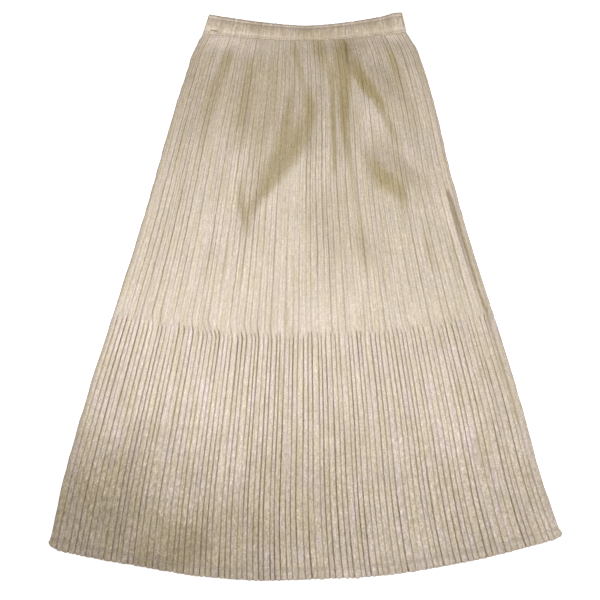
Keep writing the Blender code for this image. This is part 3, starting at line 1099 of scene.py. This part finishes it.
def faced(nodes, colour, tilt):
    """Painted shade, darker and yellower, where the cloth faces away, and a paler painted highlight
    where it faces the light.
    """
    away = nodes.mix(1.0, colour, PAINTED_SHADE_TINT, "MULTIPLY")
    colour = nodes.mix(nodes.spread(tilt, 0.0, 1.0, 0.0, 1.0), colour, away)
    towards = nodes.mix(1.0, colour, PAINTED_HIGHLIGHT_TINT, "MULTIPLY")
    return nodes.mix(nodes.spread(tilt, -1.0, 0.0, 1.0, 0.0), colour, towards)


def drawn_lines(nodes, place, long_streaks):
    """Painted shade drawn as lines in the valleys between ribs, and now and then a line half-way
    between two of them.
    """
    waver = nodes.spread(nodes.noise(place, 150.0), 0.3, 0.7, -0.07, 0.07)
    rib_number = nodes.plus(nodes.value("rib_number"), waver)
    from_valley = nodes.maths("PINGPONG", rib_number, 0.5)
    valley = nodes.spread(from_valley, 0.05, 0.16, 1.0, 0.0)
    half_way = nodes.spread(from_valley, 0.42, 0.5, 0.0, 1.0)
    now_and_then = nodes.spread(nodes.noise(long_streaks, 55.0), 0.45, 0.65, 0.0, 0.8)
    lines = nodes.plus(valley, nodes.times(half_way, now_and_then))
    return nodes.times(lines, nodes.value("sharp"))


def satin(name, base, groove_shade_share, mottle):
    nodes = Nodes(name)
    place = nodes.add("ShaderNodeTexCoord").outputs["Object"]
    short, streaky, long_streaks = (nodes.along_pleats(place, part) for part in (0.3, 0.35, 0.04))
    grain = nodes.noise(place, 420.0, 3.0, 0.65)
    flecks = nodes.noise(short, 290.0, 3.0, 0.75)
    patterns = (
        (grain, 1.4, 1.8, 1.0),
        (nodes.noise(streaky, 300.0, 3.0, 0.6), 1.1, 1.2, 1.0),
        (nodes.noise(long_streaks, 240.0, 2.0, 0.75), 1.3, 0.8, 1.0),
        (flecks, 0.5, 1.8, 0.5),
        (nodes.noise(place, 16.0, 3.0, 0.6), 0.3, 0.6, 1.0),
    )
    tilt = nodes.value("tilt")
    colour = mottled(nodes, patched(nodes, short, base), patterns, mottle)
    # Painted shade where the cloth faces away, and painted highlight where it faces the light.
    colour = faced(nodes, colour, tilt)

    # Painted shade in the grooves and drawn valleys, broken up by flecks.
    broken = nodes.spread(flecks, 0.35, 0.65, 0.2 * groove_shade_share, 1.5 * groove_shade_share)
    faded = nodes.spread(nodes.noise(streaky, 38.0), 0.35, 0.62, 0.6, 1.25)
    steady = nodes.spread(flecks, 0.35, 0.65, 0.6 * groove_shade_share, 1.2 * groove_shade_share)
    # Flecks that break up the darker edges: painted shade where the sides roll and along stitch
    # lines, darker colour along the hem and the band's top edge.
    worn = nodes.spread(flecks, 0.4, 0.6, 0.2, 0.9)
    drawn = nodes.times(drawn_lines(nodes, place, long_streaks), nodes.times(broken, faded))
    for share, dark in (
        (nodes.times(nodes.value("groove"), steady), GROOVE_SHADE),
        (nodes.times(drawn, DRAWN_SHARE), GROOVE_SHADE),
        (nodes.times(nodes.value("edge"), worn), EDGE_COLOUR),
    ):
        colour = nodes.mix(share, colour, dark)

    shader = nodes.shader
    dulled = nodes.spread(tilt, 0.0, 1.0, 0.0, 0.3)
    gloss = nodes.plus(nodes.spread(grain, 0.3, 0.7, 0.42, 0.62), dulled)
    nodes.tree.links.new(colour, shader.inputs["Base Color"])
    nodes.tree.links.new(gloss, shader.inputs["Roughness"])
    shader.inputs["Metallic"].default_value = 0.1
    shader.inputs["Specular IOR Level"].default_value = 0.7
    shader.inputs["Sheen Weight"].default_value = 0.1
    shader.inputs["Sheen Roughness"].default_value = 0.4
    bump = nodes.add("ShaderNodeBump", {"Height": grain, "Strength": 0.3, "Distance": 0.0004})
    nodes.tree.links.new(bump.outputs["Normal"], shader.inputs["Normal"])
    return nodes.material


panel_satin = satin("pleated_satin", CHAMPAGNE, 0.75, 0.14)
band_satin = satin("gathered_satin", BAND_CHAMPAGNE, 0.5, 0.15)
for sheet in (front, back):
    sheet.data.materials.append(panel_satin)
for sheet in (band_front, band_back):
    sheet.data.materials.append(band_satin)


def thread(name, colour):
    """Twisted thread: fine bands of light and dark across it, and a soft shine."""
    nodes = Nodes(name)
    place = nodes.add("ShaderNodeTexCoord").outputs["Object"]
    twist = nodes.add("ShaderNodeTexWave", {"Vector": place, "Scale": 500.0, "Distortion": 1.5})
    tone = nodes.spread(twist.outputs["Fac"], 0.0, 1.0, 0.82, 1.08)
    nodes.tree.links.new(nodes.mix(1.0, colour, tone, "MULTIPLY"), nodes.shader.inputs["Base Color"])
    nodes.shader.inputs["Roughness"].default_value = 0.5
    nodes.shader.inputs["Sheen Weight"].default_value = 0.2
    return nodes.material


pale_thread = thread("pale_thread", PALE_THREAD)
dull_thread = thread("dull_thread", DULL_THREAD)
pink_thread = thread("pink_thread", PINK_THREAD)
for row in (foot_thread, loose):
    row.data.materials.append(pale_thread)
for row in (top_thread, tack):
    row.data.materials.append(dull_thread)
hem_thread.data.materials.append(pink_thread)
print("two satins and three threads")

# %% [markdown]
# ## Everything rides on the one body
# The skirt has no joints, so each piece rides on the root and stands for the plain solid under it.

# %% Ride and replace
for piece, node, slot in (
    (front, "front_panel", "pleated_cloth"),
    (back, "back_panel", "pleated_cloth"),
    (band_front, "waistband_front", "waistband_cloth"),
    (band_back, "waistband_back", "waistband_cloth"),
):
    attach(piece, "root")
    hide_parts(node)
for row in (hem_thread, loose, top_thread, foot_thread, tack):
    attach(row, "root")
